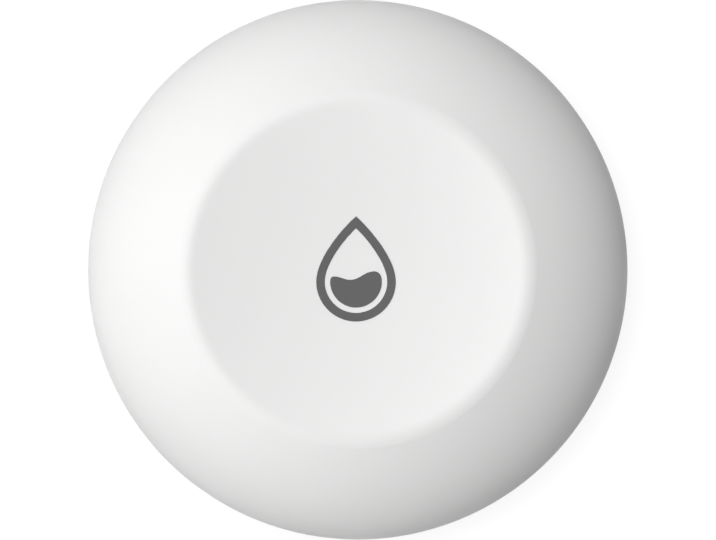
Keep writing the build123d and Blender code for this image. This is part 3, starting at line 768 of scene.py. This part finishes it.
# lamp: a white tray whose cup holds the yellow phosphor
lampLook = {"size": (2.0, 2.0, 0.9), "edge": 0.06, "wall": 0.28, "cup": 0.22, "cupSlope": 0.1,
            "phosphor": 0.58, "phosphorHeight": 0.1, "phosphorEdge": 0.04, "phosphorLift": 0.04,
            "pad": (1.2, 0.24, 0.26), "padPlace": 0.92, "padEdge": 0.03, "radius": 8.996, "angle": 45}
height = lampLook["size"][2]
tray = block((0, 0, boardTop + height / 2), lampLook["size"], lampLook["edge"], lampFinish)
pickFaces(tray, lambda normal: normal.z > flatOnly)
bpy.ops.mesh.inset(thickness=lampLook["wall"] * mm, depth=0)
bpy.ops.mesh.inset(thickness=lampLook["cupSlope"] * mm, depth=-lampLook["cup"] * mm)
bpy.ops.object.mode_set(mode="OBJECT")
phosphorMiddle = boardTop + height - lampLook["cup"] + lampLook["phosphorLift"]
parts = [tray, disc((0, 0, phosphorMiddle), lampLook["phosphor"], lampLook["phosphorHeight"],
                    lampLook["phosphorEdge"], phosphorFinish)]
for side in (-1, 1):
    parts.append(block((0, side * lampLook["padPlace"], boardTop + lampLook["pad"][2] / 2), lampLook["pad"],
                       lampLook["padEdge"], tinFinish))
setDown("statusLamp", parts, lampLook, "led_white", "status_led")

# studs that hold the switch's plate, one at each corner
studLook = {"place": 2.55, "radius": 0.32, "height": 0.16, "edge": 0.06, "sides": 20, "plateTop": 9.7,
            "sunk": 0.01}
studMiddle = studLook["plateTop"] + studLook["height"] / 2 - studLook["sunk"]
studs = [disc((x * studLook["place"], y * studLook["place"], studMiddle), studLook["radius"],
              studLook["height"], studLook["edge"], chipFinish, studLook["sides"])
         for x in (-1, 1) for y in (-1, 1)]
finished("switchStuds", studs, "housing", "chip_black")

# cell: a copy of its steel can with the pressed edges rounded, and a plus mark on its flat side
canShape = {"rim": 9.98, "bottom": 2.2, "edge": 0.28, "segments": 4, "flatWithin": 0.5, "mark": 3.2,
            "markWidth": 0.55, "markHeights": (0.18, 0.162), "markEdge": 0.05, "markPlace": 6.4}
can = mergedCopy("cellCan", node["battery_can"], canShape["flatWithin"])
pickLevelEdges(can, canShape["rim"] * mm)
bpy.ops.mesh.bevel(offset=canShape["edge"] * mm, segments=canShape["segments"], affect="EDGES")
bpy.ops.object.mode_set(mode="OBJECT")
wear(can, canFinish)
bars = ((canShape["mark"], canShape["markWidth"]), (canShape["markWidth"], canShape["mark"]))
marks = [block((canShape["markPlace"], 0, canShape["bottom"]), (*bar, height), canShape["markEdge"],
               canFinish) for bar, height in zip(bars, canShape["markHeights"])]
finished("cellCan", [can, *marks], "cell", "cell_steel", "battery_can")

# printed drop: the print is a little to the left, so its copy is swung round the middle of the dish's
# sphere, which keeps it on the dish
dropPlace = {"shift": (-0.167, -0.019), "sphere": 72.55, "dish": 13.37}
drop = mergedCopy("printedDrop", node["drop_symbol"])
middle = Vector((0, 0, (dropPlace["dish"] + dropPlace["sphere"]) * mm))
leftward, downward = (shift / dropPlace["sphere"] for shift in dropPlace["shift"])
drop.rotation_euler = (downward, -leftward, 0)
drop.location = middle - drop.rotation_euler.to_matrix() @ middle
wear(drop, printFinish)
finished("printedDrop", [drop], "housing", "print_grey", "drop_symbol")

# snap dome: a copy of the cut dome, given a mesh of its own
dome = mergedCopy("snapDome", node["switch_dome"])
wear(dome, tinFinish)
finished("snapDome", [dome], "housing", "can_metal", "switch_dome")
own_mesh(dome)

# threads of the screws and probes, each a ridge that climbs round its own axis
stationRadius = 17.65
threadSteps = 24               # straight steps in one turn
threadLook = {
    "housingScrews": {"radius": 1.0, "ridge": 0.1, "pitch": 0.5, "bottom": 4.3, "turns": 9,
                      "angles": (90, 210, 330), "finish": screwFinish, "slot": "screw_steel"},
    "boardScrews": {"radius": 0.88, "ridge": 0.07, "pitch": 0.35, "bottom": 4.75, "turns": 5,
                    "angles": (30, 150, 270), "finish": screwFinish, "slot": "screw_steel"},
    "probes": {"radius": 1.19, "ridge": 0.06, "pitch": 0.25, "bottom": 1.95, "turns": 13,
               "angles": (0, 180), "finish": probeThreadFinish, "slot": "probe_nickel"},
}


def thread(look):
    selectNone()
    bpy.ops.mesh.primitive_circle_add(vertices=3, radius=look["ridge"] * mm, rotation=toRadians(90, 0, 0),
                                      location=(look["radius"] * mm, 0, look["bottom"] * mm))
    piece = settle(bpy.context.object)
    climb = piece.modifiers.new("climb", "SCREW")
    climb.axis = "Z"
    climb.screw_offset = look["pitch"] * mm
    climb.iterations = look["turns"]
    climb.steps = climb.render_steps = threadSteps
    bpy.ops.object.modifier_apply(modifier="climb")
    bpy.context.tool_settings.mesh_select_mode = (True, False, False)
    bpy.ops.object.mode_set(mode="EDIT")
    mergeDoubles()
    bpy.ops.mesh.select_all(action="DESELECT")
    bpy.ops.mesh.select_non_manifold()
    bpy.ops.mesh.edge_face_add()
    bpy.ops.mesh.select_all(action="SELECT")
    bpy.ops.mesh.normals_make_consistent(inside=False)
    bpy.ops.object.mode_set(mode="OBJECT")
    wear(piece, look["finish"])
    return piece


for name, look in threadLook.items():
    ridges = standRound(thread(look), stationRadius, look["angles"])
    finished(name + "Thread", ridges, "housing", look["slot"])

# copper under the mask, on both sides of the board
copperLook = {"signal": 0.22, "power": 0.5, "thickness": 0.05}
routesAbove = [
    ([(-7.4, 1.6), (-5.6, 3.4), (-2.2, 3.4), (-0.6, 5.0), (2.6, 5.0), (4.9, 6.0)], "signal"),
    ([(-7.4, 1.0), (-5.2, 1.0), (-4.4, 2.25)], "signal"),
    ([(-7.4, -1.0), (-5.2, -1.0), (-4.4, -2.25)], "signal"),
    ([(4.4, 2.25), (6.2, 2.25), (7.7, 1.9)], "signal"),
    ([(4.4, -2.25), (6.0, -2.25), (7.7, -1.9)], "signal"),
    ([(14.2, 1.9), (15.2, 2.9), (13.9, 4.3)], "signal"),
    ([(14.2, -1.9), (15.4, -3.0), (13.8, -4.2)], "signal"),
    ([(-8.2, 2.9), (-8.2, 4.4), (-7.6, 5.6)], "signal"),
    ([(-9.0, 2.9), (-9.0, 5.4), (-8.0, 6.8)], "signal"),
    ([(-12.9, 0.6), (-15.0, 0.6), (-16.2, 1.8), (-16.2, 3.2)], "signal"),
    ([(-12.9, -0.6), (-14.6, -0.6), (-14.2, -2.0)], "signal"),
    ([(8.6, -7.0), (10.0, -8.4), (9.4, -10.2)], "signal"),
    ([(7.2, -8.4), (6.4, -9.8), (3.4, -12.8), (-3.4, -12.8), (-6.6, -12.0)], "power"),
    ([(6.8, -7.0), (4.0, -4.2), (3.6, -2.9)], "power"),
    ([(-9.6, -10.4), (-12.0, -8.0), (-12.4, -5.0), (-10.6, -3.2)], "power"),
    ([(6.4, 12.0), (3.0, 12.0), (-2.4, 12.0), (-5.9, 12.4)], "signal"),
    ([(12.4, 6.4), (10.4, 8.4), (8.2, 11.6)], "signal"),
    ([(-2.6, 4.0), (-2.6, 7.4), (-5.0, 9.8), (-6.4, 11.6)], "signal"),
]
routesBelow = [
    ([(-6.2, 3.6), (-8.4, 5.8), (-8.6, 9.8)], "power"),
    ([(-4.7, 4.4), (-5.0, 5.6), (-2.6, 7.4)], "power"),
    ([(4.6, 10.4), (2.0, 12.2), (-3.0, 14.0)], "power"),
    ([(-4.6, -10.4), (-3.2, -7.4)], "power"),
    ([(-6.2, -11.2), (-6.4, -14.2)], "signal"),
    ([(11.2, 0.9), (9.4, 1.0), (4.4, 5.0), (2.6, 6.8)], "signal"),
    ([(12.4, 1.3), (13.4, 2.9), (15.2, 4.9)], "signal"),
    ([(-11.2, 0.9), (-9.6, 2.4), (-9.6, 6.4), (-8.6, 9.8)], "signal"),
    ([(-12.4, 1.3), (-13.2, 3.2), (-15.2, 5.4)], "signal"),
    ([(-5.2, -5.6), (-1.8, -5.6), (0.6, -9.4)], "signal"),
    ([(3.4, -9.6), (4.6, -11.2), (5.4, -14.6)], "signal"),
    ([(0.0, 14.4), (5.0, 14.8)], "signal"),
    ([(16.4, -1.0), (14.6, -3.4), (7.0, -8.6), (3.4, -9.6)], "signal"),
]
traces = [line(corners, level, copperLook[kind], copperLook["thickness"], traceFinish)
          for level, routes in ((boardTop, routesAbove), (boardBottom, routesBelow))
          for corners, kind in routes]
finished("boardTraces", traces, "housing", "board_mask")

# gold lands and solder beads under the board, round the contacts' feet: radius, angle and size of each foot
landLook = {"margin": 0.5, "thickness": 0.08, "bead": 0.22, "beadHeight": 0.26, "edge": 0.08,
            "edgeShare": 1 / 3,
            "feet": {(5.42, 150): (2.4, 3.0), (11.25, 60): (2.4, 4.0), (11.25, 240): (2.4, 4.0),
                     (12.25, 0): (2.4, 3.0), (12.25, 180): (2.4, 3.0)}}


def padsUnder(margin, height, finish):
    edge = min(landLook["edge"], height * landLook["edgeShare"])
    pads = []
    for (radius, angle), (length, width) in landLook["feet"].items():
        size = (length + 2 * margin, width + 2 * margin, height)
        pads.append(stand(block((0, 0, boardBottom), size, edge, finish), radius, angle))
    return pads


lands = padsUnder(landLook["margin"], landLook["thickness"], goldFinish)
finished("contactLands", lands, "housing", "nut_brass")
beads = padsUnder(landLook["bead"], landLook["beadHeight"], tinFinish)
finished("contactSolder", beads, "housing", "can_metal")

# rings round the holes that join both sides of the board, and round the screws of its posts
holeRing = {"radius": 0.34, "section": 0.1, "height": 0.06, "sides": 16, "sectionSides": 6}
postRing = {"radius": 1.72, "section": 0.2, "height": 0.05, "sides": 40, "sectionSides": 6}
holes = [(-2.6, 7.4), (-0.6, 6.6), (2.6, 6.8), (-5.2, -5.6), (-3.2, -7.4), (0.6, -9.4), (3.4, -9.6),
         (5.4, -14.6), (-6.4, -14.2), (0.0, 14.4), (-3.0, 14.0), (5.0, 14.8), (15.2, 4.9), (16.4, -1.0),
         (16.6, 1.2), (-15.2, 5.4), (-8.6, 9.8), (9.4, 1.0), (0.4, -16.4), (1.6, -16.2)]
rings = [ring((*hole, level), holeRing, goldFinish) for hole in holes for level in (boardTop, boardBottom)]
for angle in threadLook["boardScrews"]["angles"]:
    rings.append(ring((*atAngle(stationRadius, angle), boardTop), postRing, goldFinish))
finished("boardRings", rings, "housing", "nut_brass")

# white outlines round the parts, the last round the switch in the middle
outlineLook = {"width": 0.14, "thickness": 0.03}
frames = [((sensingLook["radius"], sensingLook["angle"]), (3.3, 2.8)),
          ((radioLook["radius"], radioLook["angle"]), (2.85, 2.85)),
          ((crystalLook["radius"], crystalLook["angle"]), (1.6, 1.95)),
          ((lampLook["radius"], lampLook["angle"]), (1.35, 1.35)),
          ((regulatorLook["radius"], regulatorLook["angle"]), (1.75, 1.8)),
          ((0, 0), (4.3, 3.4))]
outlines = []
for (radius, angle), (halfX, halfY) in frames:
    frameLine = line([(-halfX, -halfY), (halfX, -halfY), (halfX, halfY), (-halfX, halfY)], boardTop,
                     outlineLook["width"], outlineLook["thickness"], silkFinish, closed=True)
    outlines.append(stand(frameLine, radius, angle))
finished("boardOutlines", outlines, "housing", "led_white")

# marks under the base: an arrow and a tick on the cover, then a dot that says shut and a ring that says open
markLook = {"face": 0.6, "height": 0.2, "edge": 0.04, "radius": 12.3, "width": 0.7, "from": 325, "to": 285,
            "steps": 16, "head": 1.0, "headTop": 0.85, "headAngle": 281, "tick": (0.5, 1.1),
            "tickPlace": -13.6, "dot": 0.5, "dotRadius": 15.8, "shutAngle": 270, "openAngle": 222}
openRing = {"radius": 0.42, "section": 0.13, "height": 0.13, "sides": 28, "sectionSides": 8}
sweep = [markLook["from"] + (markLook["to"] - markLook["from"]) * step / markLook["steps"]
         for step in range(markLook["steps"] + 1)]
shaft = line([atAngle(markLook["radius"], angle) for angle in sweep], markLook["face"], markLook["width"],
             markLook["height"], baseFinish)
selectNone()
headPlace = (*atAngle(markLook["radius"], markLook["headAngle"]), markLook["face"])
bpy.ops.mesh.primitive_cone_add(vertices=3, radius1=markLook["head"] * mm, radius2=markLook["headTop"] * mm,
                                depth=markLook["height"] * mm, location=[c * mm for c in headPlace],
                                rotation=toRadians(180, 0, markLook["to"] - 90))
head = settle(bpy.context.object)
wear(head, baseFinish)
tick = block((0, markLook["tickPlace"], markLook["face"]), (*markLook["tick"], markLook["height"]),
             markLook["edge"], baseFinish)
finished("coverArrow", [shaft, head, tick], "battery_cover", "shell_white")
shutDot = disc((*atAngle(markLook["dotRadius"], markLook["shutAngle"]), markLook["face"]), markLook["dot"],
               markLook["height"], markLook["edge"], baseFinish)
openMark = ring((*atAngle(markLook["dotRadius"], markLook["openAngle"]), markLook["face"]), openRing,
                baseFinish)
finished("baseMarks", [shutDot, openMark], "housing", "shell_white")
print("pieces made")


# a step of arithmetic in a node tree, on other nodes' results or on plain numbers
def reckon(tree, operation, *values):
    step = tree.nodes.new("ShaderNodeMath")
    step.operation = operation
    for place, value in enumerate(values):
        if isinstance(value, (int, float)):
            step.inputs[place].default_value = value
        else:
            tree.links.new(value, step.inputs[place])
    return step.outputs[0]


# 1 for what the camera sees, straight or in metal and glass, and 0 for what only lights the object
def seenBy(tree):
    path = tree.nodes.new("ShaderNodeLightPath")
    mirrored = reckon(tree, "MAXIMUM", path.outputs["Is Glossy Ray"], path.outputs["Is Transmission Ray"])
    return reckon(tree, "MAXIMUM", path.outputs["Is Camera Ray"], mirrored)


# floor: white round the object, a pale grey further off, with the object's shadow
floorLook = {"size": 12.0, "below": 0.00002, "bounce": (0.08, 0.08, 0.08), "shown": 0.85,
             "pale": (0.85, 0.85, 0.85), "near": 1.06, "far": 0.80, "fadeFrom": 0.043, "fadeTo": 0.30}
selectNone()
bpy.ops.mesh.primitive_plane_add(size=floorLook["size"], location=(0, 0, -floorLook["below"]))
floor = settle(bpy.context.object)
floor.name = "floor"
floor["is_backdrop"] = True
floorFinish = bpy.data.materials.new("floorPale")
floorFinish.use_nodes = True
tree = floorFinish.node_tree
tree.nodes.clear()
out = tree.nodes.new("ShaderNodeOutputMaterial")
bounce = tree.nodes.new("ShaderNodeBsdfDiffuse")
bounce.inputs["Color"].default_value = (*floorLook["bounce"], 1)
paleSide = tree.nodes.new("ShaderNodeBsdfDiffuse")
paleSide.inputs["Color"].default_value = (*floorLook["pale"], 1)
place = tree.nodes.new("ShaderNodeTexCoord")
away = tree.nodes.new("ShaderNodeVectorMath")
away.operation = "LENGTH"
tree.links.new(place.outputs["Object"], away.inputs[0])
fade = tree.nodes.new("ShaderNodeMapRange")
fade.interpolation_type = "SMOOTHSTEP"
fade.inputs["From Min"].default_value = floorLook["fadeFrom"]
fade.inputs["From Max"].default_value = floorLook["fadeTo"]
fade.inputs["To Min"].default_value = floorLook["near"]
fade.inputs["To Max"].default_value = floorLook["far"]
tree.links.new(away.outputs["Value"], fade.inputs["Value"])
glow = tree.nodes.new("ShaderNodeEmission")
tree.links.new(fade.outputs["Result"], glow.inputs["Strength"])
shown = tree.nodes.new("ShaderNodeMixShader")
shown.inputs["Fac"].default_value = floorLook["shown"]
tree.links.new(paleSide.outputs[0], shown.inputs[1])
tree.links.new(glow.outputs[0], shown.inputs[2])
mix = tree.nodes.new("ShaderNodeMixShader")
tree.links.new(seenBy(tree), mix.inputs["Fac"])
tree.links.new(bounce.outputs[0], mix.inputs[1])
tree.links.new(shown.outputs[0], mix.inputs[2])
tree.links.new(mix.outputs[0], out.inputs["Surface"])
wear(floor, floorFinish)

# an even sky with a bright low band on the left
skyLook = {"even": 0.286, "band": 9.6, "bandFrom": (-1.0, -0.05, 0.0), "bandWidth": 0.3, "bandFlat": 12.9,
           "away": 0.82}
world = bpy.data.worlds.new("studioSky")
bpy.context.scene.world = world
world.use_nodes = True
tree = world.node_tree
background = tree.nodes["Background"]
background.inputs["Color"].default_value = (1, 1, 1, 1)
place = tree.nodes.new("ShaderNodeTexCoord")
lean = tree.nodes.new("ShaderNodeVectorMath")
lean.operation = "DOT_PRODUCT"
lean.inputs[1].default_value = skyLook["bandFrom"]
tree.links.new(place.outputs["Generated"], lean.inputs[0])
axes = tree.nodes.new("ShaderNodeSeparateXYZ")
tree.links.new(place.outputs["Generated"], axes.inputs[0])
along = reckon(tree, "POWER", reckon(tree, "MAXIMUM", lean.outputs["Value"], 0.0), skyLook["bandWidth"])
level = reckon(tree, "SUBTRACT", 1.0, reckon(tree, "ABSOLUTE", axes.outputs["Z"]))
band = reckon(tree, "MULTIPLY", along, reckon(tree, "POWER", level, skyLook["bandFlat"]))
lit = reckon(tree, "MULTIPLY_ADD", band, skyLook["band"], skyLook["even"])
whiteSeen = tree.nodes.new("ShaderNodeMix")
tree.links.new(seenBy(tree), whiteSeen.inputs["Factor"])
tree.links.new(lit, whiteSeen.inputs["A"])
whiteSeen.inputs["B"].default_value = skyLook["away"]
tree.links.new(whiteSeen.outputs["Result"], background.inputs["Strength"])

# one wide soft lamp, nearly overhead
lampAbove = {"strength": 2.36, "wide": 30.0, "azimuth": 147.0, "height": 73.0}
glowData = bpy.data.lights.new("lampAbove", "SUN")
glowData.energy = lampAbove["strength"]
glowData.angle = math.radians(lampAbove["wide"])
lamp = bpy.data.objects.new("lampAbove", glowData)
bpy.context.scene.collection.objects.link(lamp)
lamp.rotation_euler = toRadians(0, 90 - lampAbove["height"], lampAbove["azimuth"])
lamp.visible_glossy = False

# camera: straight above, and so far off that the view is nearly flat
cameraLook = {"lens": 1000.0, "width": 0.06637, "widest": 0.0043, "offCentre": (0.000018, -0.000018),
              "clip": (0.1, 10.0)}
lensData = bpy.data.cameras.new("overhead")
lensData.lens = cameraLook["lens"]
lensData.clip_start, lensData.clip_end = cameraLook["clip"]
camera = bpy.data.objects.new("overhead", lensData)
bpy.context.scene.collection.objects.link(camera)
reach = cameraLook["width"] * cameraLook["lens"] / lensData.sensor_width
camera.location = (*cameraLook["offCentre"], cameraLook["widest"] + reach)
bpy.context.scene.camera = camera
bpy.context.scene.view_settings.view_transform = "Standard"
print("floor, sky and camera placed")

low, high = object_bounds()
